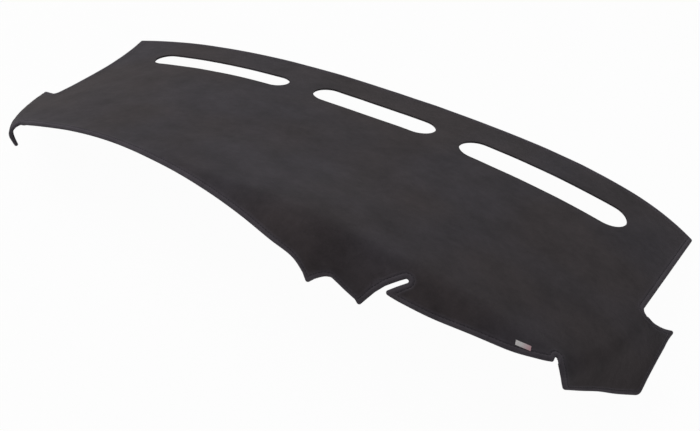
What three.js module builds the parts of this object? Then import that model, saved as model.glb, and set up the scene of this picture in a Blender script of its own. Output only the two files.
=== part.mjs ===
// Moulded carpet cover mat for the dashboard of a pickup truck.
// One hemmed sheet with three defroster slots, and a small blank woven label sewn to it.
// Millimetres. X runs across the vehicle, Y towards the windscreen, Z up.
import * as THREE from 'three';

// Top panel: its windscreen edge and the form of the dashboard under it
const halfWidth = 700;
const cornersX = [-706, 700];
const leftBow = 38;
const leftBowPower = 1.6;
const rightBow = 62;
const rightBowPower = 5.5;
const crownBack = 83;
const crownGrowth = 0.12;
const crownPower = 2.6;
const panelSlope = 0.365;

// Front rim, where the panel turns down over the dashboard's front edge
const rimDepth = 630;
const rimBendX = -150;
const rimSkew = 0.135;
const rimSoftness = 100;
const frontAngle = 75;
const lipRadius = 14;
const apronRadius = 70;
const lipEndX = -330;
const apronStartX = 30;

// Folds of the two end flaps, each an arc in plan from its front to its back point. A flap turns
// down by one angle at the front of its fold and by another at the back
const rightFold = {
  front: [611, -634], back: [690, -372], bow: 18, side: 1, radius: 45, angles: [84, 58],
};
const leftFold = {
  front: [-629, -573], back: [-716, -372], bow: 21, side: -1, radius: 32, angles: [92, 92],
};

// Sheet and hem
const sheetThickness = 4;
const hemThickness = 7.6;
const hemWidth = 14;
const notchRadius = 6;

// Defroster slots: centre, length, width and turn in plan
const slotWidth = 70;
const slots = [
  { x: -396, y: -149, length: 346, turn: 5 },
  { x: -19, y: -131, length: 309, turn: 0 },
  { x: 387, y: -146, length: 392, turn: -2.5 },
];

// Side edges of the panel
const leftSideBow = 18;
const leftSideEnd = [-685, -388];
const rightSideEnd = [690, -372];

// Front edge from the instrument arch to the passenger apron, as cut in the flat
const archEdge = [
  [-533, -582], [-381, -607], [-211, -643], [-100, -671], [0, -698], [68, -720], [118, -734],
];
const archEnd = [140, -750];
const firstTab = [156, -775];
const scallopTop = [200, -738];
const secondTab = [261, -769];
const tabSide = [252, -761];
const slitWidth = 8;
const slitMouth = [298, -717];
const slitEnd = [333, -680];
const apronEdge = [[337, -722], [396, -719], [469, -706], [541, -690], [591, -669]];
const apronCorner = [613, -656];

// End flaps in the flat, as distances along the fold and out from it
const rightFlap = {
  inner: [-4, 83], bottom: [[36, 92], [78, 104], [121, 124]], corner: [173, 150], cornerRadius: 22,
  outer: [[210, 122], [249, 105], [297, 96]], ear: [344, 97],
  earTop: [[276, 14], [285, 38], [310, 68]],
};
const leftFlap = {
  inner: [-2, 98], bottom: [[40, 78], [85, 62], [130, 64]], corner: [212, 96], cornerRadius: 30,
  outer: [[240, 84]], ear: [275, 62], earTop: [[240, 28]],
};

// Woven label on the apron
const labelLength = 28;
const labelWidth = 9;
const labelThickness = 0.7;
const labelGap = 0.35;
const labelCentre = [557, -668];
const labelTurn = 15;

// Spacing of the model's points along the edges, round the slots and inside the panel
const edgeStep = 24;
const slotStep = 26;
const panelStep = 42;
const filletSteps = 4;
const roundSteps = 4;

const toRadians = THREE.MathUtils.degToRad;

function smoothBetween(value, from, to) {
  return THREE.MathUtils.smoothstep(value, from, to);
}

// A bend from level to unit slope, rounded over the given softness either side
function softRamp(value, softness) {
  if (value <= -softness) return 0;
  if (value >= softness) return value;
  return (value + softness) ** 2 / (4 * softness);
}

function panelHeight(x, y) {
  const crown = (crownBack - crownGrowth * y) * Math.abs(x / halfWidth) ** crownPower;
  return -crown - panelSlope * y;
}

function rimY(x) {
  return -rimDepth + rimSkew * softRamp(rimBendX - x, rimSoftness);
}

function rimRadius(x) {
  return THREE.MathUtils.lerp(lipRadius, apronRadius, smoothBetween(x, lipEndX, apronStartX));
}

// The sheet turned down past a fold: foot is the point on the fold, (nx, ny) points out from it
function turnDown(footX, footY, nx, ny, distance, radius, angle) {
  const h = 0.5;
  const rise = panelHeight(footX + nx * h, footY + ny * h)
    - panelHeight(footX - nx * h, footY - ny * h);
  const start = Math.atan(rise / (2 * h));
  const end = toRadians(angle);
  const bendLength = Math.max(radius * (start + end), 0);
  const bent = Math.min(distance, bendLength);
  const straight = distance - bent;
  const slope = start - bent / radius;
  const out = radius * (Math.sin(start) - Math.sin(slope)) + straight * Math.cos(end);
  const drop = radius * (Math.cos(slope) - Math.cos(start)) - straight * Math.sin(end);
  return new THREE.Vector3(footX + nx * out, footY + ny * out, panelHeight(footX, footY) + drop);
}

// Centre, radius and axes of the arc that a flap's fold follows in plan
function foldArc(fold) {
  const front = new THREE.Vector2(...fold.front);
  const back = new THREE.Vector2(...fold.back);
  const chord = front.distanceTo(back);
  const along = back.clone().sub(front).divideScalar(chord);
  const out = new THREE.Vector2(fold.side * along.y, -fold.side * along.x);
  const radius = chord ** 2 / (8 * fold.bow) + fold.bow / 2;
  const centre = front.clone().add(back).multiplyScalar(0.5);
  centre.addScaledVector(out, fold.bow - radius);
  return { centre, radius, along, out, halfAngle: Math.asin(chord / (2 * radius)) };
}

const rightArc = foldArc(rightFold);
const leftArc = foldArc(leftFold);

// Direction square to a fold, at an angle along its arc. Past the arc's ends the fold runs straight
function foldNormal(arc, angle) {
  const held = THREE.MathUtils.clamp(angle, -arc.halfAngle, arc.halfAngle);
  const normal = arc.out.clone().multiplyScalar(Math.cos(held));
  return normal.addScaledVector(arc.along, Math.sin(held));
}

// Flat point at a distance along a flap's fold and out from it
function flapPoint(arc, [along, out]) {
  const angle = along / arc.radius - arc.halfAngle;
  const held = THREE.MathUtils.clamp(angle, -arc.halfAngle, arc.halfAngle);
  const normal = foldNormal(arc, angle);
  const run = new THREE.Vector2(-normal.y, normal.x).multiplyScalar(Math.sign(arc.along.cross(arc.out)) * -1);
  const point = arc.centre.clone().addScaledVector(normal, arc.radius + out);
  return point.addScaledVector(run, (angle - held) * arc.radius);
}

// How far a flat point lies past a flap's fold, and the direction out from the fold there
function pastFold(arc, u, v) {
  const offset = new THREE.Vector2(u, v).sub(arc.centre);
  const angle = Math.atan2(offset.dot(arc.along), offset.dot(arc.out));
  const normal = foldNormal(arc, angle);
  const share = THREE.MathUtils.clamp(angle / (2 * arc.halfAngle) + 0.5, 0, 1);
  return { distance: offset.dot(normal) - arc.radius, nx: normal.x, ny: normal.y, share };
}

// Where a point of the flat sheet lies once the sheet has its moulded form
function mouldedTop(u, v) {
  const pastRim = rimY(u) - v;
  for (const [arc, fold] of [[rightArc, rightFold], [leftArc, leftFold]]) {
    const past = pastFold(arc, u, v);
    if (past.distance > 0 && past.distance > pastRim) {
      const footX = u - past.nx * past.distance;
      const footY = v - past.ny * past.distance;
      const angle = THREE.MathUtils.lerp(...fold.angles, past.share);
      return turnDown(footX, footY, past.nx, past.ny, past.distance, fold.radius, angle);
    }
  }
  if (pastRim > 0) {
    return turnDown(u, rimY(u), 0, -1, pastRim, rimRadius(u), frontAngle);
  }
  return new THREE.Vector3(u, v, panelHeight(u, v));
}

// A point at a height above the sheet's top face, or below it where the height is negative
function moulded(u, v, height) {
  const h = 0.25;
  const across = mouldedTop(u + h, v).sub(mouldedTop(u - h, v));
  const along = mouldedTop(u, v + h).sub(mouldedTop(u, v - h));
  const normal = across.cross(along).normalize();
  return mouldedTop(u, v).addScaledVector(normal, height);
}

function vectors(points) {
  return points.map((point) => new THREE.Vector2(...point));
}

// Points at about one step along a curve through the given points, with its two ends
function curvePoints(points, step) {
  const curve = points.length > 2 ? new THREE.SplineCurve(points) : new THREE.LineCurve(...points);
  const count = Math.max(1, Math.round(curve.getLength() / step));
  return curve.getSpacedPoints(count);
}

// Points along a circular arc between two points, bowed to the left of its direction
function bowedPoints(from, to, bow, step) {
  const chord = to.clone().sub(from);
  const left = new THREE.Vector2(-chord.y, chord.x).normalize();
  const count = Math.max(2, Math.round(chord.length() / step));
  const points = [];
  for (let i = 0; i <= count; i += 1) {
    const t = i / count;
    points.push(from.clone().addScaledVector(chord, t).addScaledVector(left, 4 * bow * t * (1 - t)));
  }
  return points;
}

function windscreenY(x) {
  if (x < 0) return -leftBow * (-x / halfWidth) ** leftBowPower;
  return -rightBow * (x / halfWidth) ** rightBowPower;
}

function windscreenEdge() {
  const [left, right] = cornersX;
  const count = Math.round((right - left) / edgeStep);
  const points = [];
  for (let i = 0; i <= count; i += 1) {
    const x = THREE.MathUtils.lerp(right, left, i / count);
    points.push(new THREE.Vector2(x, windscreenY(x)));
  }
  return points;
}

// Rounds the corner between two runs of points that share their end point
function fillet(before, after, radius, steps) {
  const corner = before[before.length - 1];
  const into = corner.clone().sub(before[before.length - 2]).normalize();
  const out = after[1].clone().sub(corner).normalize();
  const turn = Math.acos(THREE.MathUtils.clamp(into.dot(out), -1, 1));
  const trim = radius * Math.tan(turn / 2);
  const side = Math.sign(into.cross(out));
  const start = corner.clone().addScaledVector(into, -trim);
  const centre = start.clone().addScaledVector(new THREE.Vector2(-into.y, into.x), side * radius);
  const keep = (point) => point.distanceTo(corner) > trim + radius / 2;
  const arc = [];
  for (let i = 0; i <= steps; i += 1) {
    arc.push(start.clone().rotateAround(centre, (side * turn * i) / steps));
  }
  return [...before.filter(keep), ...arc, ...after.filter(keep)];
}

// Both flaps run from their ear to their inner corner in the flat
function flapEdges(arc, flap, concaveCorner) {
  const at = (points) => points.map((point) => flapPoint(arc, point));
  const [ear, corner, inner] = at([flap.ear, flap.corner, flap.inner]);
  const top = curvePoints([concaveCorner, ...at(flap.earTop), ear], edgeStep);
  const outer = curvePoints([ear, ...at([...flap.outer].reverse()), corner], edgeStep);
  const bottom = curvePoints([corner, ...at([...flap.bottom].reverse()), inner], edgeStep);
  const rounded = fillet(outer, bottom, flap.cornerRadius, filletSteps);
  return { top, hanging: rounded };
}

// Runs of points from one sharp corner to the next, anticlockwise seen from above
function outlineRuns() {
  const windscreen = windscreenEdge();
  const rightCorner = windscreen[0];
  const leftCorner = windscreen[windscreen.length - 1];
  const [leftEnd, rightEnd] = vectors([leftSideEnd, rightSideEnd]);
  const leftSide = bowedPoints(leftCorner, leftEnd, leftSideBow, edgeStep);
  const left = flapEdges(leftArc, leftFlap, leftEnd);
  const leftNotch = new THREE.Vector2(...leftFold.front);
  const leftInner = curvePoints([left.hanging[left.hanging.length - 1], leftNotch], edgeStep);
  const arch = curvePoints([leftNotch, ...vectors(archEdge), ...vectors([archEnd])], edgeStep);
  const tabs = vectors([archEnd, firstTab, scallopTop, secondTab]);
  const slitRun = new THREE.Vector2(...slitEnd).sub(new THREE.Vector2(...slitMouth)).normalize();
  const slitSide = new THREE.Vector2(-slitRun.y, slitRun.x).multiplyScalar(slitWidth / 2);
  const [mouth, end] = vectors([slitMouth, slitEnd]);
  const upperMouth = mouth.clone().add(slitSide);
  const upperEnd = end.clone().add(slitSide);
  const lowerEnd = end.clone().sub(slitSide);
  const lowerMouth = mouth.clone().sub(slitSide);
  const slitTip = [];
  for (let i = 0; i <= filletSteps + 2; i += 1) {
    slitTip.push(upperEnd.clone().rotateAround(end, (-Math.PI * i) / (filletSteps + 2)));
  }
  const right = flapEdges(rightArc, rightFlap, rightEnd);
  const rightNotch = new THREE.Vector2(...rightFold.front);
  const apron = curvePoints([lowerMouth, ...vectors([...apronEdge, apronCorner])], edgeStep);
  const apronEnd = [new THREE.Vector2(...apronCorner), rightNotch];
  const reverse = (run) => [...run].reverse();
  return [
    windscreen,
    fillet(leftSide, left.top, notchRadius, filletSteps),
    left.hanging,
    fillet(leftInner, arch, notchRadius, filletSteps),
    [tabs[0], tabs[1]],
    curvePoints([tabs[1], tabs[2], ...vectors([tabSide]), tabs[3]], edgeStep),
    curvePoints([tabs[3], upperMouth], edgeStep),
    [...curvePoints([upperMouth, upperEnd], edgeStep), ...slitTip.slice(1, -1),
      ...curvePoints([lowerEnd, lowerMouth], edgeStep)],
    apron,
    fillet(apronEnd, reverse(curvePoints([right.hanging[right.hanging.length - 1], rightNotch],
      edgeStep)), notchRadius, filletSteps),
    reverse(right.hanging),
    fillet(reverse(right.top), curvePoints([rightEnd, rightCorner], edgeStep), notchRadius,
      filletSteps),
  ];
}

// One closed loop from the runs, each shared corner once. Beside a sharp corner no point is so near
// that the hem's inner edge would cross itself
function closedLoop(runs) {
  const reaches = runs.map((run, i) => {
    const next = runs[(i + 1) % runs.length];
    const into = next[0].clone().sub(run[run.length - 2]).normalize();
    const out = next[1].clone().sub(next[0]).normalize();
    const turn = Math.atan2(into.cross(out), into.dot(out));
    return 1.15 * hemWidth * Math.tan(Math.max(turn, 0) / 2);
  });
  return runs.flatMap((run, i) => {
    const start = run[0];
    const end = run[run.length - 1];
    const startReach = reaches[(i + runs.length - 1) % runs.length];
    const middle = run.slice(1, -1).filter((point) => point.distanceTo(start) > startReach
      && point.distanceTo(end) > reaches[i]);
    return [start, ...middle];
  });
}

// The loop moved into the sheet by a distance, with mitred corners
function insetLoop(loop, distance) {
  return loop.map((point, i) => {
    const before = loop[(i + loop.length - 1) % loop.length];
    const after = loop[(i + 1) % loop.length];
    const into = point.clone().sub(before).normalize();
    const out = after.clone().sub(point).normalize();
    const normal = new THREE.Vector2(-into.y - out.y, into.x + out.x).normalize();
    const mitre = 1 / Math.max(0.35, normal.dot(new THREE.Vector2(-into.y, into.x)));
    return point.clone().addScaledVector(normal, distance * mitre);
  });
}

function slotLoop({ x, y, length, turn }) {
  const centre = new THREE.Vector2(x, y);
  const half = length / 2 - slotWidth / 2;
  const radius = slotWidth / 2;
  const straight = Math.max(2, Math.round((2 * half) / slotStep));
  const points = [];
  for (const end of [1, -1]) {
    for (let i = 0; i < straight; i += 1) {
      points.push(new THREE.Vector2(end * (2 * half * (i / straight) - half), -end * radius));
    }
    for (let i = 0; i < roundSteps * 2; i += 1) {
      const angle = -Math.PI / 2 + (Math.PI * i) / (roundSteps * 2);
      points.push(new THREE.Vector2(
        end * (half + radius * Math.cos(angle)), end * radius * Math.sin(angle),
      ));
    }
  }
  return points.map((point) => point.add(centre).rotateAround(centre, toRadians(turn)));
}

function inside(loop, x, y) {
  let odd = false;
  for (let i = 0, j = loop.length - 1; i < loop.length; j = i, i += 1) {
    const a = loop[i];
    const b = loop[j];
    if ((a.y > y) !== (b.y > y) && x < ((b.x - a.x) * (y - a.y)) / (b.y - a.y) + a.x) odd = !odd;
  }
  return odd;
}

// Whether a point is too near a closed loop's corners, or within the circle on one of its edges
function crowds(loop, x, y, distance) {
  return loop.some((from, i) => {
    const to = loop[(i + 1) % loop.length];
    const within = (from.x - x) * (to.x - x) + (from.y - y) * (to.y - y) < 0;
    return within || Math.hypot(from.x - x, from.y - y) < distance;
  });
}

// Delaunay triangles of a set of flat points
function delaunay(points) {
  const far = 10 * halfWidth;
  const all = [...points, new THREE.Vector2(-far, -far), new THREE.Vector2(far, -far),
    new THREE.Vector2(0, far)];
  const circle = (a, b, c) => {
    const [p, q, r] = [all[a], all[b], all[c]];
    const d = 2 * (p.x * (q.y - r.y) + q.x * (r.y - p.y) + r.x * (p.y - q.y));
    const [pp, qq, rr] = [p.lengthSq(), q.lengthSq(), r.lengthSq()];
    const x = (pp * (q.y - r.y) + qq * (r.y - p.y) + rr * (p.y - q.y)) / d;
    const y = (pp * (r.x - q.x) + qq * (p.x - r.x) + rr * (q.x - p.x)) / d;
    return { a, b, c, x, y, reach: (p.x - x) ** 2 + (p.y - y) ** 2 };
  };
  let triangles = [circle(points.length, points.length + 1, points.length + 2)];
  points.forEach((point, index) => {
    const edges = new Map();
    triangles = triangles.filter((t) => {
      if ((point.x - t.x) ** 2 + (point.y - t.y) ** 2 >= t.reach) return true;
      for (const [from, to] of [[t.a, t.b], [t.b, t.c], [t.c, t.a]]) {
        if (!edges.delete(`${to},${from}`)) edges.set(`${from},${to}`, [from, to]);
      }
      return false;
    });
    for (const [from, to] of edges.values()) triangles.push(circle(from, to, index));
  });
  return triangles.filter((t) => Math.max(t.a, t.b, t.c) < points.length)
    .map((t) => [t.a, t.b, t.c]);
}

// Whether a flat point is in or beside a stretch that bends over
function nearFold(x, y) {
  const past = [rimY(x) - y, pastFold(rightArc, x, y).distance, pastFold(leftArc, x, y).distance];
  return Math.max(...past) > -panelStep / 2;
}

// Points and triangles of the panel inside the hem, with the slots left open
function panelMesh(border, holes) {
  const loops = [border, ...holes];
  const points = loops.flat();
  const fine = panelStep / 2;
  const rows = Math.ceil((2 * halfWidth + 4 * panelStep) / fine);
  for (let row = 0; row < rows; row += 1) {
    for (let column = 0; column < rows; column += 1) {
      const x = -halfWidth - 2 * panelStep + (column + row / 2 - Math.floor(row / 2)) * fine;
      const y = -row * fine * Math.sin(Math.PI / 3);
      const whole = row % 2 === 0 && (column + (row % 4) / 2) % 2 === 0;
      const step = whole ? panelStep : fine;
      const open = inside(border, x, y) && !holes.some((hole) => inside(hole, x, y));
      const clear = !loops.some((loop) => crowds(loop, x, y, 0.55 * step));
      if (open && clear && (whole || nearFold(x, y))) points.push(new THREE.Vector2(x, y));
    }
  }
  const triangles = delaunay(points).filter(([a, b, c]) => {
    const x = (points[a].x + points[b].x + points[c].x) / 3;
    const y = (points[a].y + points[b].y + points[c].y) / 3;
    return inside(border, x, y) && !holes.some((hole) => inside(hole, x, y));
  });
  return { points, triangles };
}

// Section of the folded edge: distance in from the edge and height, from top to underside
function hemSection() {
  const radius = hemThickness / 2;
  const section = [[hemWidth, 0]];
  for (let i = 0; i <= roundSteps; i += 1) {
    const angle = Math.PI / 2 - (Math.PI * i) / roundSteps;
    section.push([radius - radius * Math.cos(angle), radius * Math.sin(angle) - radius]);
  }
  section.push([hemWidth, -hemThickness], [hemWidth, -sheetThickness]);
  return section;
}

function hemmedSheet() {
  const loop = closedLoop(outlineRuns());
  const holes = slots.map(slotLoop);
  const section = hemSection();
  const panel = panelMesh(insetLoop(loop, hemWidth), holes);
  const vertices = [];
  const triangles = [];
  const add = (point, height) => vertices.push(moulded(point.x, point.y, height)) - 1;
  const top = panel.points.map((point) => add(point, 0));
  const under = panel.points.map((point) => add(point, -sheetThickness));
  for (const [a, b, c] of panel.triangles) {
    triangles.push([top[a], top[b], top[c]], [under[a], under[c], under[b]]);
  }
  const strip = (upper, lower) => {
    upper.forEach((corner, i) => {
      const next = (i + 1) % upper.length;
      triangles.push([corner, lower[i], lower[next]], [corner, lower[next], upper[next]]);
    });
  };
  const border = loop.length;
  const rings = section.slice(1, -1).map(
    ([inset, height]) => insetLoop(loop, inset).map((point) => add(point, height)),
  );
  const ladder = [top.slice(0, border), ...rings, under.slice(0, border)];
  for (let i = 1; i < ladder.length; i += 1) strip(ladder[i - 1], ladder[i]);
  let first = border;
  for (const hole of holes) {
    strip(under.slice(first, first + hole.length), top.slice(first, first + hole.length));
    first += hole.length;
  }
  return bodyFrom(vertices, triangles);
}

function bodyFrom(vertices, triangles) {
  const geometry = new THREE.BufferGeometry();
  const positions = vertices.flatMap((vertex) => vertex.toArray());
  geometry.setAttribute('position', new THREE.Float32BufferAttribute(positions, 3));
  geometry.setIndex(triangles.flat());
  geometry.computeVertexNormals();
  return geometry;
}

// A thin strip that follows the apron's curve just above its top face
function labelBody() {
  const geometry = new THREE.BoxGeometry(labelLength, labelWidth, labelThickness, 4, 1, 1);
  geometry.translate(0, 0, labelGap + labelThickness / 2);
  geometry.rotateZ(toRadians(labelTurn));
  geometry.translate(labelCentre[0], labelCentre[1], 0);
  const position = geometry.getAttribute('position');
  for (let i = 0; i < position.count; i += 1) {
    const point = moulded(position.getX(i), position.getY(i), position.getZ(i));
    position.setXYZ(i, point.x, point.y, point.z);
  }
  geometry.computeVertexNormals();
  return geometry;
}

function piece(name, geometry, color, roughness) {
  const material = new THREE.MeshStandardMaterial({ color, roughness, metalness: 0 });
  const mesh = new THREE.Mesh(geometry, material);
  mesh.name = name;
  return mesh;
}

const mat = new THREE.Group();
mat.add(piece('carpet_mat', hemmedSheet(), 0x37363a, 0.95));
mat.add(piece('woven_label', labelBody(), 0xd9d2d2, 0.7));

// The origin is the middle of the space that the mat stands in, on the surface under it
const bounds = new THREE.Box3().setFromObject(mat);
const middle = bounds.getCenter(new THREE.Vector3());
mat.position.set(-middle.x, -middle.y, -bounds.min.z);

export default mat;
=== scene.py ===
"""Looks of a moulded carpet cover mat for a vehicle's dashboard, on a plain pale floor in soft light."""

import logging
import math
from dataclasses import dataclass, field
from enum import Enum

import bpy
import numpy as np
from mathutils import Matrix, Vector, noise
from mathutils.geometry import delaunay_2d_cdt


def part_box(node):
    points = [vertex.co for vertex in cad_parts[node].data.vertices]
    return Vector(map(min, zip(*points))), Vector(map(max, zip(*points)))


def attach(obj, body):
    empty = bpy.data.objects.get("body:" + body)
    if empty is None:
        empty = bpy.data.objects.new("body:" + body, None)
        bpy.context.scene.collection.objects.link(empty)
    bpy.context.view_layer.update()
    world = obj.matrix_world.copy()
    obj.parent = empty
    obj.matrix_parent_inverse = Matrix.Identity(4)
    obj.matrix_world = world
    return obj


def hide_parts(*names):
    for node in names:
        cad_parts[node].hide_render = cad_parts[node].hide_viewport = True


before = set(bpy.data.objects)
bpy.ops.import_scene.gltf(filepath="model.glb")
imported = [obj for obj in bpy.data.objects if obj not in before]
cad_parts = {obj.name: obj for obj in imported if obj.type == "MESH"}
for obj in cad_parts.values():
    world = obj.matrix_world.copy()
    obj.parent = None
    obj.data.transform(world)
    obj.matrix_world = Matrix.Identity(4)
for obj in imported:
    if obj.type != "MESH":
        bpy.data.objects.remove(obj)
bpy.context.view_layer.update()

LOG = logging.getLogger("dashboard_mat")
MM = 0.001
BODY = "root"
CURVE_SHARES = 80      # points worked out on each span of a smooth curve, before they are spaced evenly
ARC_CLEARANCE = 0.5    # millimetres that a run's points keep from the start of a rounding
LEAST_MITRE = 0.35     # limits how far a sharp corner moves when its loop is moved inwards
BATCH = 2000           # points that are measured against a loop at once


def linear_colour(hex_colour: str) -> tuple[float, float, float, float]:
    """Turn an sRGB hex colour into linear RGBA.

    Args:
        hex_colour: Six hex digits, as in "3a383b".

    Returns:
        The linear red, green and blue values, and an alpha of 1.
    """
    channels = [int(hex_colour[i:i + 2], 16) / 255 for i in (0, 2, 4)]
    linear = [c / 12.92 if c <= 0.04045 else ((c + 0.055) / 1.055) ** 2.4 for c in channels]
    return (linear[0], linear[1], linear[2], 1.0)


def add_node(tree: bpy.types.NodeTree, kind: str, settings: dict | None = None,
             inputs: dict | None = None) -> bpy.types.Node:
    """Add a shader node with its settings, values and links.

    Args:
        tree: The node tree that the node goes into.
        kind: The node's type, such as "ShaderNodeTexNoise".
        settings: Attributes to set on the node.
        inputs: For each input's name or index, an output socket to link or a value to set.

    Returns:
        The new node.
    """
    node = tree.nodes.new(kind)
    for name, value in (settings or {}).items():
        setattr(node, name, value)
    for name, value in (inputs or {}).items():
        if isinstance(value, bpy.types.NodeSocket):
            tree.links.new(value, node.inputs[name])
        else:
            node.inputs[name].default_value = value
    return node


def empty_material(name: str) -> tuple[bpy.types.Material, bpy.types.NodeTree]:
    """Make a node material with no nodes in it.

    Args:
        name: The material's name.

    Returns:
        The material and its node tree.
    """
    material = bpy.data.materials.new(name)
    material.use_nodes = True
    material.node_tree.nodes.clear()
    return material, material.node_tree


def mesh_object(name: str, points: np.ndarray, faces: list[tuple[int, ...]]) -> bpy.types.Object:
    """Make a mesh object of points in metres.

    Args:
        name: The object's name.
        points: One row for each vertex.
        faces: Vertex numbers of each face.

    Returns:
        The new object, linked to the scene.
    """
    mesh = bpy.data.meshes.new(name)
    mesh.from_pydata([tuple(p) for p in points], [], faces)
    mesh.validate()
    mesh.update()
    piece = bpy.data.objects.new(name, mesh)
    bpy.context.scene.collection.objects.link(piece)
    return piece


def smooth_between(value: np.ndarray, low: float, high: float) -> np.ndarray:
    """Rise smoothly from 0 at low to 1 at high.

    Args:
        value: The values to turn.
        low: Where the rise starts.
        high: Where it ends.

    Returns:
        A share between 0 and 1 for each value.
    """
    t = np.clip((value - low) / (high - low), 0, 1)
    return t * t * (3 - 2 * t)


def curve_points(points: list[tuple[float, float]], step: float) -> np.ndarray:
    """Space points evenly along a smooth curve through the given ones.

    Args:
        points: Two or more points in the flat, in millimetres.
        step: About how far apart the new points lie.

    Returns:
        The new points, one row each, with both ends.
    """
    given = np.array(points, float)
    fine = [given[0]]
    last = len(given) - 1
    for i in range(last):
        before, start = given[max(i - 1, 0)], given[i]
        end, after = given[i + 1], given[min(i + 2, last)]
        into, out = (end - before) / 2, (after - start) / 2
        for t in np.linspace(0, 1, CURVE_SHARES + 1)[1:]:
            fine.append((2 * start - 2 * end + into + out) * t ** 3
                        + (3 * end - 3 * start - 2 * into - out) * t ** 2 + into * t + start)
    fine = given if last == 1 else np.array(fine)
    lengths = np.concatenate([[0], np.cumsum(np.linalg.norm(np.diff(fine, axis=0), axis=1))])
    count = max(1, round(lengths[-1] / step))
    at = np.linspace(0, lengths[-1], count + 1)
    return np.stack([np.interp(at, lengths, fine[:, k]) for k in (0, 1)], 1)


def turned(points: np.ndarray, angle: float) -> np.ndarray:
    """Turn flat points about the origin.

    Args:
        points: One point, or one row for each.
        angle: How far, anticlockwise, in radians.

    Returns:
        The turned points.
    """
    spin = np.array([[math.cos(angle), math.sin(angle)], [-math.sin(angle), math.cos(angle)]])
    return points @ spin


def rounded(before: np.ndarray, after: np.ndarray, radius: float, steps: int) -> np.ndarray:
    """Round the corner where two runs of points meet.

    Args:
        before: The run that ends at the corner.
        after: The run that starts at the corner.
        radius: The rounding's radius.
        steps: Into how many steps the arc is cut.

    Returns:
        Both runs as one, with the arc in place of the corner.
    """
    corner = before[-1]
    into = corner - before[-2]
    into = into / np.linalg.norm(into)
    out = after[1] - corner
    out = out / np.linalg.norm(out)
    turn = math.acos(float(np.clip(into @ out, -1, 1)))
    trim = radius * math.tan(turn / 2)
    side = math.copysign(1, into[0] * out[1] - into[1] * out[0])
    start = corner - into * trim
    centre = start + np.array([-into[1], into[0]]) * side * radius
    arc = [centre + turned(start - centre, side * turn * i / steps) for i in range(steps + 1)]
    keep_before = before[np.linalg.norm(before - corner, axis=1) > trim + ARC_CLEARANCE]
    keep_after = after[np.linalg.norm(after - corner, axis=1) > trim + ARC_CLEARANCE]
    return np.concatenate([keep_before, arc, keep_after])


def inset(loop: np.ndarray, distance: float) -> np.ndarray:
    """Move a closed anticlockwise loop inwards, with mitred corners.

    Args:
        loop: The loop's points.
        distance: How far it moves.

    Returns:
        The moved points.
    """
    into = loop - np.roll(loop, 1, 0)
    out = np.roll(loop, -1, 0) - loop
    into /= np.linalg.norm(into, axis=1)[:, None]
    out /= np.linalg.norm(out, axis=1)[:, None]
    normal = np.stack([-into[:, 1] - out[:, 1], into[:, 0] + out[:, 0]], 1)
    normal /= np.linalg.norm(normal, axis=1)[:, None]
    lean = normal[:, 0] * -into[:, 1] + normal[:, 1] * into[:, 0]
    return loop + normal * (distance / np.maximum(lean, LEAST_MITRE))[:, None]


def distance_to_loop(points: np.ndarray, loop: np.ndarray) -> np.ndarray:
    """Measure from each point to the nearest place on a closed loop.

    Args:
        points: The points to measure from.
        loop: The loop's points.

    Returns:
        One distance for each point.
    """
    ends = np.roll(loop, -1, 0)
    run = ends - loop
    squares = (run ** 2).sum(1)
    nearest = np.empty(len(points))
    for first in range(0, len(points), BATCH):
        part = points[first:first + BATCH, None] - loop[None]
        share = np.clip((part * run[None]).sum(2) / squares[None], 0, 1)
        gap = part - share[..., None] * run[None]
        nearest[first:first + BATCH] = np.sqrt((gap ** 2).sum(2).min(1))
    return nearest


def inside_loop(points: np.ndarray, loop: np.ndarray) -> np.ndarray:
    """Tell which points lie inside a closed loop.

    Args:
        points: The points to test.
        loop: The loop's points.

    Returns:
        True for each point inside.
    """
    odd = np.zeros(len(points), bool)
    x, y = points[:, 0], points[:, 1]
    for a, b in zip(loop, np.roll(loop, 1, 0)):
        if a[1] == b[1]:
            continue
        crosses = (a[1] > y) != (b[1] > y)
        odd ^= crosses & (x < (b[0] - a[0]) * (y - a[1]) / (b[1] - a[1]) + a[0])
    return odd


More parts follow.
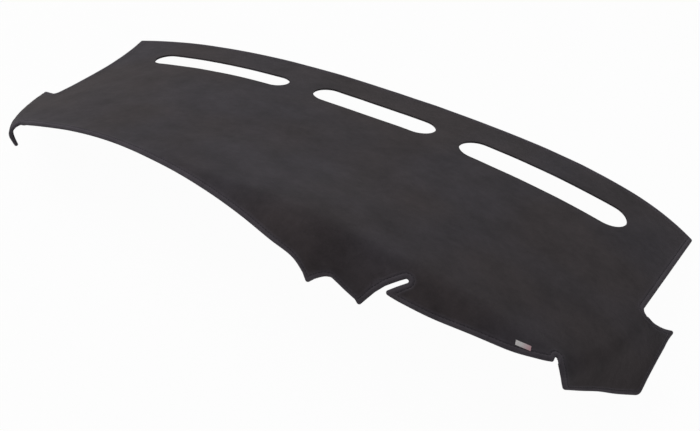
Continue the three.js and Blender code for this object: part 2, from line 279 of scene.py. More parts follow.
@dataclass(frozen=True)
class Fold:
    """Line along which an end flap turns down, an arc in plan. Millimetres and degrees."""

    front: tuple[float, float]
    back: tuple[float, float]
    bow: float
    side: int
    radius: float
    angles: tuple[float, float]

    def __post_init__(self) -> None:
        """Work out the arc's centre, radius and axes."""
        front, back = np.array(self.front, float), np.array(self.back, float)
        chord = float(np.linalg.norm(back - front))
        along = (back - front) / chord
        out = np.array([self.side * along[1], -self.side * along[0]])
        reach = chord ** 2 / (8 * self.bow) + self.bow / 2
        object.__setattr__(self, "along", along)
        object.__setattr__(self, "out", out)
        object.__setattr__(self, "reach", reach)
        object.__setattr__(self, "centre", (front + back) / 2 + out * (self.bow - reach))
        object.__setattr__(self, "half_angle", math.asin(chord / (2 * reach)))

    def normal(self, angle: np.ndarray) -> np.ndarray:
        """Direction square to the fold, at an angle along its arc.

        Args:
            angle: Angles from the arc's middle. Past the arc's ends the fold runs straight.

        Returns:
            One unit vector for each angle.
        """
        held = np.clip(angle, -self.half_angle, self.half_angle)[..., None]
        return self.out * np.cos(held) + self.along * np.sin(held)

    def flat_point(self, along: float, out: float) -> tuple[float, float]:
        """Find the flat point at a distance along the fold and out from it.

        Args:
            along: Distance along the fold from its front end.
            out: Distance out from the fold.

        Returns:
            The point in the flat.
        """
        angle = along / self.reach - self.half_angle
        held = float(np.clip(angle, -self.half_angle, self.half_angle))
        run = self.along * math.cos(held) - self.out * math.sin(held)
        point = self.centre + self.normal(np.array(angle)) * (self.reach + out)
        point = point + run * (angle - held) * self.reach
        return (float(point[0]), float(point[1]))

    def past(self, flat: np.ndarray) -> tuple[np.ndarray, np.ndarray, np.ndarray]:
        """Measure how far flat points lie past the fold.

        Args:
            flat: Points in the flat.

        Returns:
            The distance past the fold, the direction out from it and the share along it.
        """
        offset = flat - self.centre
        angle = np.arctan2(offset @ self.along, offset @ self.out)
        normal = self.normal(angle)
        share = np.clip(angle / (2 * self.half_angle) + 0.5, 0, 1)
        return (offset * normal).sum(1) - self.reach, normal, share


@dataclass(frozen=True)
class MouldedForm:
    """The form that the sheet was moulded to: a dashboard's top and its turned-down edges.

    Millimetres and degrees. x is across, and y is 0 at the windscreen and negative to the front.
    """

    half_width: float = 700
    crown_back: float = 83
    crown_growth: float = 0.12
    crown_power: float = 2.6
    panel_slope: float = 0.365
    rim_depth: float = 630
    rim_bend_x: float = -150
    rim_skew: float = 0.135
    rim_softness: float = 100
    front_angle: float = 75
    lip_radius: float = 14
    apron_radius: float = 70
    lip_end_x: float = -330
    apron_start_x: float = 30
    right_fold: Fold = Fold((611, -634), (690, -372), 18, 1, 45, (84, 58))
    left_fold: Fold = Fold((-634.5, -562), (-727, -371), 20, -1, 32, (107, 83))
    hood_rise: float = 20
    hood_valley: tuple[float, float] = (211, -678)
    hood_turn: float = 18
    hood_side: float = 62
    hood_soft_side: tuple[float, float] = (-125, 60)
    hood_crease: tuple[float, float] = (-690, -655)
    hood_left_fade: tuple[float, float] = (110, 430)
    hood_back_fade: tuple[float, float] = (-640, -400)
    hood_lift: tuple[float, float, float] = (0, -0.35, 0.937)
    slope_reach: float = 0.5
    normal_reach: float = 0.25

    def panel_height(self, x: np.ndarray, y: np.ndarray) -> np.ndarray:
        """Height of the top panel, which is crowned across and rises to the front."""
        crown = (self.crown_back - self.crown_growth * y) * np.abs(x / self.half_width) ** self.crown_power
        return -crown - self.panel_slope * y

    def hood_height(self, x: np.ndarray, y: np.ndarray) -> np.ndarray:
        """Work out the instrument hood, which falls on its right to a valley between the tabs.

        Args:
            x: Places across the flat.
            y: Places along the flat, negative to the front.

        Returns:
            How far each point is lifted above the plain panel.
        """
        turn = math.radians(self.hood_turn)
        valley_x, valley_y = self.hood_valley
        from_valley = (valley_x - x) * math.cos(turn) + (valley_y - y) * math.sin(turn)
        side = np.clip(from_valley / self.hood_side, 0, 1)
        soft_side = smooth_between(from_valley, *self.hood_soft_side)
        profile = side + (soft_side - side) * smooth_between(y, *self.hood_crease)
        left_fade = 1 - smooth_between(from_valley, *self.hood_left_fade)
        return self.hood_rise * profile * left_fade * (1 - smooth_between(y, *self.hood_back_fade))

    def rim_y(self, x: np.ndarray) -> np.ndarray:
        """Find where the panel starts to turn down at the front.

        Args:
            x: Places across the flat.

        Returns:
            The rim's y at each place.
        """
        past = self.rim_bend_x - x
        soft = self.rim_softness
        ramp = np.where(past >= soft, past, np.maximum(past + soft, 0) ** 2 / (4 * soft))
        return -self.rim_depth + self.rim_skew * ramp

    def rim_radius(self, x: np.ndarray) -> np.ndarray:
        """Radius of the front's turn, small on the instrument arch and large on the apron."""
        share = smooth_between(x, self.lip_end_x, self.apron_start_x)
        return self.lip_radius + (self.apron_radius - self.lip_radius) * share

    def turned_down(self, foot: np.ndarray, normal: np.ndarray, distance: np.ndarray,
                    radius: np.ndarray, angle: np.ndarray) -> np.ndarray:
        """Place points of the sheet that lie past a fold.

        Args:
            foot: Points on the fold.
            normal: Direction out from the fold at each.
            distance: How far past the fold each point lies.
            radius: The bend's radius.
            angle: How steeply the sheet falls after the bend, in degrees.

        Returns:
            The points in space.
        """
        reach = self.slope_reach
        ahead, behind = foot + normal * reach, foot - normal * reach
        rise = self.panel_height(ahead[:, 0], ahead[:, 1]) - self.panel_height(behind[:, 0], behind[:, 1])
        start = np.arctan(rise / (2 * reach))
        end = np.radians(angle)
        bent = np.minimum(distance, np.maximum(radius * (start + end), 0))
        straight = distance - bent
        slope = start - bent / radius
        out = radius * (np.sin(start) - np.sin(slope)) + straight * np.cos(end)
        drop = radius * (np.cos(slope) - np.cos(start)) - straight * np.sin(end)
        place = foot + normal * out[:, None]
        height = self.panel_height(foot[:, 0], foot[:, 1]) + drop
        return np.column_stack([place, height])

    def top(self, flat: np.ndarray) -> np.ndarray:
        """Place flat points on the moulded sheet's top face.

        Args:
            flat: Points in the flat, in millimetres.

        Returns:
            The points in space.
        """
        x, y = flat[:, 0], flat[:, 1]
        placed = np.column_stack([x, y, self.panel_height(x, y)])
        rim = self.rim_y(x)
        past_rim = rim - y
        over = past_rim > 0
        forward = np.tile([0.0, -1.0], (over.sum(), 1))
        feet = np.column_stack([x, rim])
        placed[over] = self.turned_down(feet[over], forward, past_rim[over], self.rim_radius(x[over]),
                                        np.full(over.sum(), self.front_angle))
        for fold in (self.right_fold, self.left_fold):
            distance, normal, share = fold.past(flat)
            beyond = (distance > 0) & (distance > past_rim)
            feet = flat - normal * distance[:, None]
            angle = fold.angles[0] + (fold.angles[1] - fold.angles[0]) * share
            placed[beyond] = self.turned_down(feet[beyond], normal[beyond], distance[beyond],
                                              np.full(beyond.sum(), fold.radius), angle[beyond])
        return placed + np.outer(self.hood_height(x, y), self.hood_lift)

    def placed(self, flat: np.ndarray, height: np.ndarray) -> np.ndarray:
        """Place points at a height above the moulded sheet's top face.

        Args:
            flat: Points in the flat, in millimetres.
            height: The height of each, negative below the top face.

        Returns:
            The points in space.
        """
        reach = self.normal_reach
        across = self.top(flat + [reach, 0]) - self.top(flat - [reach, 0])
        along = self.top(flat + [0, reach]) - self.top(flat - [0, reach])
        normal = np.cross(across, along)
        normal /= np.linalg.norm(normal, axis=1)[:, None]
        return self.top(flat) + normal * height[:, None]


@dataclass(frozen=True)
class Slot:
    """A defroster slot: its centre, length, width and turn in plan."""

    x: float
    y: float
    length: float
    width: float
    turn: float
    least_straight_steps: int = 2
    least_end_steps: int = 8

    def area(self) -> float:
        """Area of the round-ended opening."""
        return (self.length - self.width) * self.width + math.pi * self.width ** 2 / 4

    def loop(self, step: float) -> np.ndarray:
        """Trace the slot's round-ended outline.

        Args:
            step: About how far apart the points lie.

        Returns:
            The outline's points, anticlockwise.
        """
        radius = self.width / 2
        half = self.length / 2 - radius
        straight = max(self.least_straight_steps, round(2 * half / step))
        round_steps = max(self.least_end_steps, round(math.pi * radius / step))
        points = []
        for end in (1, -1):
            for i in range(straight):
                points.append((end * (2 * half * i / straight - half), -end * radius))
            for i in range(round_steps):
                angle = -math.pi / 2 + math.pi * i / round_steps
                points.append((end * (half + radius * math.cos(angle)), end * radius * math.sin(angle)))
        return turned(np.array(points), math.radians(self.turn)) + [self.x, self.y]


@dataclass(frozen=True)
class FlapCut:
    """Outline of an end flap, as distances along its fold and out from it."""

    inner: tuple[float, float]
    bottom: tuple[tuple[float, float], ...]
    corner: tuple[float, float]
    corner_radius: float
    outer: tuple[tuple[float, float], ...]
    ear: tuple[float, float]
    ear_top: tuple[tuple[float, float], ...]
    corner_steps: int = 10

    def edges(self, fold: Fold, concave: tuple[float, float],
              step: float) -> tuple[np.ndarray, np.ndarray]:
        """Trace the flap from the side edge to its ear, and from there to its inner corner.

        Args:
            fold: The fold that the flap hangs from.
            concave: The corner between the flap and the side edge.
            step: About how far apart the points lie.

        Returns:
            The ear's top edge, and the hanging edge with its rounded corner.
        """
        ear, corner, inner = (fold.flat_point(*p) for p in (self.ear, self.corner, self.inner))
        top = curve_points([concave, *(fold.flat_point(*p) for p in self.ear_top), ear], step)
        outer = curve_points([ear, *(fold.flat_point(*p) for p in reversed(self.outer)), corner], step)
        bottom = curve_points([corner, *(fold.flat_point(*p) for p in reversed(self.bottom)), inner], step)
        return top, rounded(outer, bottom, self.corner_radius, self.corner_steps)


@dataclass(frozen=True)
class FlatPattern:
    """The sheet as it is cut in the flat, after its hem is folded under. Millimetres."""

    form: MouldedForm
    left_corner_x: float = -706
    right_corner_x: float = 700
    left_bow: float = 38
    left_bow_power: float = 1.6
    right_bow: float = 62
    right_bow_power: float = 5.5
    left_side_bow: float = 18
    left_side_end: tuple[float, float] = (-685, -388)
    right_side_end: tuple[float, float] = (690, -372)
    arch: tuple[tuple[float, float], ...] = (
        (-533, -582), (-381, -607), (-211, -643), (-95, -673), (8, -702), (76, -724), (125, -739))
    arch_end: tuple[float, float] = (150, -761)
    first_tab: tuple[float, float] = (161, -781)
    scallop: tuple[float, float] = (190, -750)
    scallop_end: tuple[float, float] = (205, -741)
    tab_side: tuple[float, float] = (253, -760)
    second_tab: tuple[float, float] = (262, -770)
    slit_width: float = 8
    slit_mouth: tuple[float, float] = (298, -717)
    slit_end: tuple[float, float] = (333, -680)
    apron: tuple[tuple[float, float], ...] = (
        (337, -722), (396, -719), (469, -706), (541, -690), (591, -669))
    apron_corner: tuple[float, float] = (613, -656)
    right_flap: FlapCut = FlapCut(
        (-4, 83), ((36, 92), (78, 104), (121, 124)), (173, 150), 22,
        ((210, 122), (249, 105), (297, 96)), (344, 97), ((276, 14), (285, 38), (310, 68)))
    left_flap: FlapCut = FlapCut(
        (-2, 90), ((40, 40), (85, 44), (130, 67)), (212, 88), 30, ((240, 76),), (275, 60), ((240, 28),))
    # The right flap's inner edge leans towards the apron, in distances along its fold and out from it
    slanted_edge: tuple[tuple[float, float], ...] = ((-8, 18), (-11, 45), (-8, 67))
    notch_radius: float = 6
    narrow_notch_radius: float = 2.5
    right_notch_radius: float = 16
    tip_radius: float = 5
    notch_steps: int = 6
    right_notch_steps: int = 8
    tip_steps: int = 7
    slit_end_steps: int = 8
    sharp_turn: float = 0.3
    slots: tuple[Slot, ...] = (
        Slot(-404, -142, 349, 61, 1.6), Slot(-18, -130, 293, 74, -0.3), Slot(385, -143, 381, 83, -1.3))

    def windscreen_edge(self, step: float) -> np.ndarray:
        """Trace the edge along the windscreen, from right to left.

        Args:
            step: About how far apart the points lie.

        Returns:
            The edge's points.
        """
        count = round((self.right_corner_x - self.left_corner_x) / step)
        x = np.linspace(self.right_corner_x, self.left_corner_x, count + 1)
        reach = np.abs(x) / self.form.half_width
        y = np.where(x < 0, -self.left_bow * reach ** self.left_bow_power,
                     -self.right_bow * reach ** self.right_bow_power)
        return np.column_stack([x, y])

    def left_side(self, start: np.ndarray, step: float) -> np.ndarray:
        """Trace the left side edge, which bows into the panel.

        Args:
            start: The windscreen edge's left end.
            step: About how far apart the points lie.

        Returns:
            The edge's points, with both ends.
        """
        end = np.array(self.left_side_end, float)
        chord = end - start
        length = float(np.linalg.norm(chord))
        left = np.array([-chord[1], chord[0]]) / length
        t = np.linspace(0, 1, max(2, round(length / step)) + 1)[:, None]
        return start + chord * t + left * 4 * self.left_side_bow * t * (1 - t)

    def slit(self, step: float) -> tuple[np.ndarray, np.ndarray]:
        """Trace the slit beside the steering column.

        Args:
            step: About how far apart the points lie.

        Returns:
            The whole slit from its upper mouth round its end, and the point of its lower mouth.
        """
        mouth, end = np.array(self.slit_mouth, float), np.array(self.slit_end, float)
        run = (end - mouth) / np.linalg.norm(end - mouth)
        side = np.array([-run[1], run[0]]) * self.slit_width / 2
        upper = curve_points([tuple(mouth + side), tuple(end + side)], step)
        lower = curve_points([tuple(end - side), tuple(mouth - side)], step)
        steps = self.slit_end_steps
        tip = [end + turned(side, -math.pi * i / steps) for i in range(1, steps)]
        return np.concatenate([upper, tip, lower]), mouth - side

    def outline(self, step: float) -> np.ndarray:
        """Trace the whole outline, anticlockwise from the right windscreen corner.

        Args:
            step: About how far apart the points lie.

        Returns:
            The outline's points, each once.
        """
        form = self.form
        windscreen = self.windscreen_edge(step)
        left_side = self.left_side(windscreen[-1], step)
        left_top, left_hanging = self.left_flap.edges(form.left_fold, self.left_side_end, step)
        left_inner = curve_points([tuple(left_hanging[-1]), form.left_fold.front], step)
        arch = curve_points([form.left_fold.front, *self.arch, self.arch_end], step)
        slit, lower_mouth = self.slit(step)
        right_top, right_hanging = self.right_flap.edges(form.right_fold, self.right_side_end, step)
        slanted = [form.right_fold.flat_point(*place) for place in self.slanted_edge]
        right_inner = curve_points([form.right_fold.front, *slanted, tuple(right_hanging[-1])], step)
        right_side = curve_points([self.right_side_end, tuple(windscreen[0])], step)
        apron = curve_points([tuple(lower_mouth), *self.apron, self.apron_corner], step)
        apron_end = curve_points([self.apron_corner, form.right_fold.front], step / 2)
        runs = [
            windscreen,
            rounded(left_side, left_top, self.notch_radius, self.notch_steps),
            left_hanging,
            rounded(left_inner, arch, self.notch_radius, self.notch_steps),
            curve_points([self.arch_end, self.first_tab], step),
            rounded(curve_points([self.first_tab, self.scallop, self.scallop_end], step),
                    curve_points([self.scallop_end, self.tab_side], step),
                    self.notch_radius, self.notch_steps),
            curve_points([self.tab_side, self.second_tab], step / 2),
            curve_points([self.second_tab, tuple(slit[0])], step),
            slit,
            apron,
            rounded(apron_end, right_inner, self.narrow_notch_radius, self.notch_steps),
            right_hanging[::-1],
            rounded(right_top[::-1], right_side, self.right_notch_radius, self.right_notch_steps),
        ]
        return self.joined(runs)

    def meet(self, before: np.ndarray, after: np.ndarray) -> np.ndarray:
        """Join two runs, and round their corner where it is a sharp outer one.

        Args:
            before: The run that ends at the corner.
            after: The run that starts there.

        Returns:
            Both runs as one.
        """
        into, out = before[-1] - before[-2], after[1] - after[0]
        turn = math.atan2(into[0] * out[1] - into[1] * out[0], into @ out)
        if turn > self.sharp_turn:
            return rounded(before, after, self.tip_radius, self.tip_steps)
        return np.concatenate([before, after[1:]])

    def joined(self, runs: list[np.ndarray]) -> np.ndarray:
        """Join runs into one closed loop, with each outer corner slightly rounded.

        Args:
            runs: Runs of points, each from where the last one ends.

        Returns:
            The loop's points, each once.
        """
        loop = runs[0]
        for run in runs[1:]:
            loop = self.meet(loop, run)
        half = len(loop) // 2
        return self.meet(loop[half:], loop[:half + 1])[:-1]


class CarpetFace(Enum):
    """Which way a patch of the carpet faces, and so how it is finished."""

    PILE = 0
    BACKING = 1


@dataclass(frozen=True)
class BrushedCarpet:
    """Short polyester carpet, brushed and steam-moulded: matt, with a soft mottle where the pile lies and
    a painted highlight along the hem.

    Bumps are a strength and a height in millimetres.
    """

    cool_colour: str = "413d42"
    warm_colour: str = "423c3e"
    # Lighter colour mixed in along the hem as a painted highlight
    hem_highlight_colour: str = "58535a"
    hem_highlight_share: float = 0.75
    roughness: float = 0.95
    fibre_ior: float = 1.55
    tint_mm: float = 260
    patch_mm: float = 75
    lump_mm: float = 16
    tuft_mm: float = 3.4
    patch_contrast: float = 0.95
    lump_contrast: float = 0.45
    tuft_contrast: float = 0.4
    tint_range: tuple[float, float] = (0.38, 0.62)
    tuft_bump: tuple[float, float] = (0.3, 0.7)
    lump_bump: tuple[float, float] = (0.35, 1.4)
    specular: float = 0.12
    sheen: float = 0.08
    sheen_roughness: float = 0.6

    def noise(self, tree: bpy.types.NodeTree, size_mm: float, detail: float) -> bpy.types.NodeSocket:
        """Add a noise pattern whose features have a real size.

        Args:
            tree: The material's node tree.
            size_mm: About how large a feature is.
            detail: How many finer layers the pattern has.

        Returns:
            The pattern's output.
        """
        place = add_node(tree, "ShaderNodeTexCoord").outputs["Object"]
        pattern = add_node(tree, "ShaderNodeTexNoise", inputs={
            "Vector": place, "Scale": 1 / (size_mm * MM), "Detail": detail, "Roughness": 0.6})
        return pattern.outputs["Fac"]

    def build(self) -> bpy.types.Material:
        """Make the material.

        Returns:
            The carpet's material.
        """
        material, tree = empty_material("brushed_polyester_carpet")
        # A tuft is about 1 mm across, and it is drawn three times as wide so that it shows
        tufts, lumps, patches = (self.noise(tree, size, 3)
                                 for size in (self.tuft_mm, self.lump_mm, self.patch_mm))
        # Where the dye took a little cooler or warmer, over a hand's breadth and more
        tint = add_node(tree, "ShaderNodeMapRange", inputs={
            "Value": self.noise(tree, self.tint_mm, 1), "From Min": self.tint_range[0],
            "From Max": self.tint_range[1]})
        shade = add_node(tree, "ShaderNodeMix", {"data_type": "RGBA"}, {
            "Factor": tint.outputs["Result"], "A": linear_colour(self.cool_colour),
            "B": linear_colour(self.warm_colour)})
        # Painted highlight: the hem's fold opens the pile, and a lighter colour is mixed in along it to
        # stand in for the light that it catches
        hem = add_node(tree, "ShaderNodeAttribute", {"attribute_name": "hem"})
        painted_hem_highlight = add_node(tree, "ShaderNodeMath", {"operation": "MULTIPLY"}, {
            0: hem.outputs["Fac"], 1: self.hem_highlight_share})
        shade = add_node(tree, "ShaderNodeMix", {"data_type": "RGBA"}, {
            "Factor": painted_hem_highlight.outputs[0], "A": shade.outputs["Result"],
            "B": linear_colour(self.hem_highlight_colour)})
        value = add_node(tree, "ShaderNodeValue").outputs[0]
        contrasts = ((tufts, self.tuft_contrast), (lumps, self.lump_contrast),
                     (patches, self.patch_contrast))
        value.default_value = 1 - sum(contrast for _, contrast in contrasts) / 2
        for pattern, contrast in contrasts:
            value = add_node(tree, "ShaderNodeMath", {"operation": "MULTIPLY_ADD"}, {
                0: pattern, 1: contrast, 2: value}).outputs[0]
        mottled = add_node(tree, "ShaderNodeHueSaturation", inputs={
            "Value": value, "Color": shade.outputs["Result"]})
        rough = add_node(tree, "ShaderNodeBump", inputs={
            "Strength": self.tuft_bump[0], "Distance": self.tuft_bump[1] * MM, "Height": tufts})
        uneven = add_node(tree, "ShaderNodeBump", inputs={
            "Strength": self.lump_bump[0], "Distance": self.lump_bump[1] * MM, "Height": lumps,
            "Normal": rough.outputs["Normal"]})
        # Brushed fibre ends scatter light: hardly any gloss, and a faint sheen at the turned-down edges
        surface = add_node(tree, "ShaderNodeBsdfPrincipled", inputs={
            "Base Color": mottled.outputs["Color"], "Roughness": self.roughness, "IOR": self.fibre_ior,
            "Specular IOR Level": self.specular, "Sheen Weight": self.sheen,
            "Sheen Roughness": self.sheen_roughness, "Normal": uneven.outputs["Normal"]})
        add_node(tree, "ShaderNodeOutputMaterial", inputs={"Surface": surface.outputs["BSDF"]})
        return material


@dataclass(frozen=True)
class NeedledBacking:
    """Felted back of the carpet, bonded with latex: flatter and a little darker than the pile."""

    colour: str = "302e30"
    light_colour: str = "3b393b"
    roughness: float = 0.9
    specular: float = 0.25
    clump_mm: float = 6
    bump: tuple[float, float] = (0.25, 0.4)

    def build(self) -> bpy.types.Material:
        """Make the material.

        Returns:
            The backing's material.
        """
        material, tree = empty_material("needled_latex_backing")
        place = add_node(tree, "ShaderNodeTexCoord").outputs["Object"]
        # Needling draws the fibres into clumps of 2 mm or so, drawn three times as wide so that they show
        fibres = add_node(tree, "ShaderNodeTexNoise", inputs={
            "Vector": place, "Scale": 1 / (self.clump_mm * MM), "Detail": 5.0, "Roughness": 0.7})
        shade = add_node(tree, "ShaderNodeMix", {"data_type": "RGBA"}, {
            "Factor": fibres.outputs["Fac"], "A": linear_colour(self.colour),
            "B": linear_colour(self.light_colour)})
        felted = add_node(tree, "ShaderNodeBump", inputs={
            "Strength": self.bump[0], "Distance": self.bump[1] * MM, "Height": fibres.outputs["Fac"]})
        surface = add_node(tree, "ShaderNodeBsdfPrincipled", inputs={
            "Base Color": shade.outputs["Result"], "Roughness": self.roughness,
            "Specular IOR Level": self.specular, "Normal": felted.outputs["Normal"]})
        add_node(tree, "ShaderNodeOutputMaterial", inputs={"Surface": surface.outputs["BSDF"]})
        return material


@dataclass(frozen=True)
class Ridge:
    """A rounded ridge that follows the edge: its height, its distance in from the edge and its spread."""

    height: float
    place: float
    spread: float

    def at(self, from_edge: np.ndarray) -> np.ndarray:
        """Height of the ridge at each distance in from the edge."""
        return self.height * np.exp(-((from_edge - self.place) / self.spread) ** 2)


@dataclass(frozen=True)
class Wave:
    """Slow unevenness: its height, its length across and along, and which of the patterns it is."""

    height: float
    across: float
    along: float
    layer: float

    def at(self, flat: np.ndarray) -> np.ndarray:
        """Height of the unevenness at each flat point."""
        spots = (Vector((x / self.across, y / self.along, self.layer)) for x, y in flat)
        return np.array([noise.noise(spot) for spot in spots]) * self.height


@dataclass
class CarpetMat:
    """The hemmed carpet sheet, moulded to the dashboard. Millimetres."""

    pattern: FlatPattern
    shift: np.ndarray
    carpet: BrushedCarpet = field(default_factory=BrushedCarpet)
    backing: NeedledBacking = field(default_factory=NeedledBacking)
    sheet_thickness: float = 4
    hem_thickness: float = 7.6
    hem_width: float = 14
    stitch_inset: float = 10
    edge_step: float = 4.5
    panel_step: float = 8.5
    edge_rings: int = 7
    hem_rows: tuple[float, ...] = (5.6, 7.6, 9, 11, 12.6, 13.6, 14.4, 16.5)
    edge_puff: Ridge = Ridge(0.7, 6.2, 2.4)
    inner_puff: Ridge = Ridge(0.45, 13.2, 2.2)
    top_groove_depth: float = 1.1
    under_groove_depth: float = 0.8
    groove_spread: float = 1
    hem_step_half: float = 0.6
    waves: tuple[Wave, ...] = (Wave(1.3, 170, 120, 3.1), Wave(0.35, 46, 46, 8.7))
    # Distances in from the edge over which the hem's painted highlight fades out
    hem_highlight_fade: tuple[float, float] = (8, 18)
    row_tolerance: float = 0.25
    row_spacing: float = 0.45
    grid_clearance: float = 0.6
    slot_clearance: float = 0.45
    weld_distance: float = 1e-5
    sharp_edge: float = 60

    def groove(self, from_edge: np.ndarray, depth: float) -> np.ndarray:
        """Depth of the groove that the stitches pull in one face of the hem."""
        return Ridge(depth, self.stitch_inset, self.groove_spread).at(from_edge)

    def top_relief(self, from_edge: np.ndarray) -> np.ndarray:
        """Height of the hem's puffed edge and its stitched groove above the plain sheet."""
        puff = self.edge_puff.at(from_edge) + self.inner_puff.at(from_edge)
        return puff - self.groove(from_edge, self.top_groove_depth)

    def under_relief(self, from_edge: np.ndarray) -> np.ndarray:
        """Work out the underside, which is lower where the hem is folded under.

        Args:
            from_edge: Distances in from the sheet's edge.

        Returns:
            The underside's height at each, negative below the top face.
        """
        fold = smooth_between(from_edge, self.hem_width - self.hem_step_half,
                              self.hem_width + self.hem_step_half)
        fall = (self.hem_thickness - self.sheet_thickness) * fold
        return -self.hem_thickness + fall + self.groove(from_edge, self.under_groove_depth)

    def undulation(self, flat: np.ndarray) -> np.ndarray:
        """Slow unevenness of a sheet that was pressed over a form and then handled."""
        return sum(wave.at(flat) for wave in self.waves)

    def panel_points(self, outline: np.ndarray, border: np.ndarray, holes: list[np.ndarray]) -> np.ndarray:
        """Spread points over the panel: rows along the hem, and an even grid inside.

        Args:
            outline: The sheet's edge.
            border: The loop where the edge's rounding ends.
            holes: The slots' outlines.

        Returns:
            The points in the flat.
        """
        rows = []
        for distance in sorted([*self.hem_rows, self.stitch_inset]):
            row = inset(outline, distance)
            kept = row[distance_to_loop(row, outline) > distance - self.row_tolerance]
            spaced = [kept[0]]
            for point in kept[1:]:
                if np.linalg.norm(point - spaced[-1]) > self.row_spacing * self.edge_step:
                    spaced.append(point)
            rows.append(np.array(spaced))
        low, high = outline.min(0), outline.max(0)
        x = np.arange(low[0], high[0], self.panel_step)
        y = np.arange(low[1], high[1], self.panel_step * math.sin(math.pi / 3))
        grid = np.array([(a + (j % 2) * self.panel_step / 2, b) for j, b in enumerate(y) for a in x])
        grid = grid[inside_loop(grid, outline)]
        clear = self.hem_rows[-1] + self.grid_clearance * self.panel_step
        grid = grid[distance_to_loop(grid, outline) > clear]
        points = np.concatenate([*rows, grid])
        points = points[inside_loop(points, border)]
        for hole in holes:
            points = points[~inside_loop(points, hole)]
            points = points[distance_to_loop(points, hole) > self.slot_clearance * self.panel_step]
        return points

    def triangulated(self, border: np.ndarray, holes: list[np.ndarray],
                     inner: np.ndarray) -> tuple[np.ndarray, np.ndarray]:
        """Join the panel's points into triangles that keep the edges.

        Args:
            border: The outer loop.
            holes: The slots' outlines.
            inner: The points inside.

        Returns:
            The points, with the loops' first and in order, and the triangles.
        """
        loops = [border, *holes]
        edges = []
        first = 0
        for loop in loops:
            edges += [(first + i, first + (i + 1) % len(loop)) for i in range(len(loop))]
            first += len(loop)
        points = np.concatenate([*loops, inner])
        made = delaunay_2d_cdt([Vector(p) for p in points], edges, [], 0, self.weld_distance, True)
        from_given = [ids[0] if ids else -1 for ids in made[3]]
        triangles = np.array([[from_given[v] for v in face] for face in made[2] if len(face) == 3])
        triangles = triangles[(triangles >= 0).all(1)]
        middles = points[triangles].mean(1)
        keep = inside_loop(middles, border)
        for hole in holes:
            keep &= ~inside_loop(middles, hole)
        triangles = triangles[keep]
        a, b, c = (points[triangles[:, k]] for k in range(3))
        clockwise = (b[:, 0] - a[:, 0]) * (c[:, 1] - a[:, 1]) < (b[:, 1] - a[:, 1]) * (c[:, 0] - a[:, 0])
        triangles[clockwise] = triangles[clockwise][:, ::-1]
        return points, triangles

    def build(self) -> bpy.types.Object:
        """Make the sheet's closed mesh and dress it.

        Returns:
            The mat.
        """
        form = self.pattern.form
        outline = self.pattern.outline(self.edge_step)
        radius = self.hem_thickness / 2
        border = inset(outline, radius)
        holes = [slot.loop(self.edge_step) for slot in self.pattern.slots]
        points, triangles = self.triangulated(border, holes, self.panel_points(outline, border, holes))
        from_edge = distance_to_loop(points, outline)
        wave = self.undulation(points)
        layers = [form.placed(points, self.top_relief(from_edge) + wave),
                  form.placed(points, self.under_relief(from_edge) + wave)]
        count = len(points)
        faces = [tuple(t) for t in triangles] + [tuple(count + t[::-1]) for t in triangles]
        kinds = [CarpetFace.PILE] * len(triangles) + [CarpetFace.BACKING] * len(triangles)
        total = 2 * count
        edge_wave = self.undulation(outline)
        ladder = [np.arange(len(border))]
        for ring in range(1, self.edge_rings):
            angle = math.pi / 2 - math.pi * ring / self.edge_rings
            loop = inset(outline, radius - radius * math.cos(angle))
            layers.append(form.placed(loop, edge_wave + radius * math.sin(angle) - radius))
            ladder.append(total + np.arange(len(loop)))
            total += len(loop)
        ladder.append(count + np.arange(len(border)))
        for upper, lower in zip(ladder, ladder[1:]):
            following = np.roll(np.arange(len(upper)), -1)
            faces += [(upper[i], lower[i], lower[j], upper[j]) for i, j in enumerate(following)]
            kinds += [CarpetFace.PILE] * len(upper)
        first = len(border)
        for hole in holes:
            upper = first + np.arange(len(hole))
            following = np.roll(upper, -1)
            faces += [(count + i, i, j, count + j) for i, j in zip(upper, following)]
            kinds += [CarpetFace.PILE] * len(hole)
            first += len(hole)
        mat = mesh_object("moulded_carpet", (np.concatenate(layers) + self.shift) * MM, faces)
        mat.data.materials.append(self.carpet.build())
        mat.data.materials.append(self.backing.build())
        # Mask of the painted highlight along the hem: full on the rounded edge rings, fading out further
        # in
        hem = mat.data.attributes.new("hem", "FLOAT", "POINT")
        hem_highlight_mask = 1 - smooth_between(from_edge, *self.hem_highlight_fade)
        rim = np.ones(len(mat.data.vertices) - 2 * count)
        hem.data.foreach_set("value", np.concatenate([hem_highlight_mask, hem_highlight_mask, rim]).astype(np.float32))
        in_hem = from_edge < self.hem_width
        for i, triangle in enumerate(triangles):
            if in_hem[triangle].all():
                kinds[len(triangles) + i] = CarpetFace.PILE
        mat.data.polygons.foreach_set("material_index", [kind.value for kind in kinds])
        mat.data.polygons.foreach_set("use_smooth", [True] * len(faces))
        mat.data.set_sharp_from_angle(angle=math.radians(self.sharp_edge))
        return mat

    def declare(self, mat: bpy.types.Object) -> None:
        """Hang the mat on its body, hide the model part that it stands in for, and log how large its cut
        is.

        Args:
            mat: The mat's object.
        """
        outline = self.pattern.outline(self.edge_step)
        size = (outline.max(0) - outline.min(0)) * MM
        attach(mat, BODY)
        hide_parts("carpet_mat")
        following = np.roll(outline, -1, 0)
        area = abs((outline[:, 0] * following[:, 1] - outline[:, 1] * following[:, 0]).sum()) / 2
        area -= sum(slot.area() for slot in self.pattern.slots)
        LOG.info("mat cut %.3f x %.3f m, %.3f square metres", size[0], size[1], area * MM ** 2)


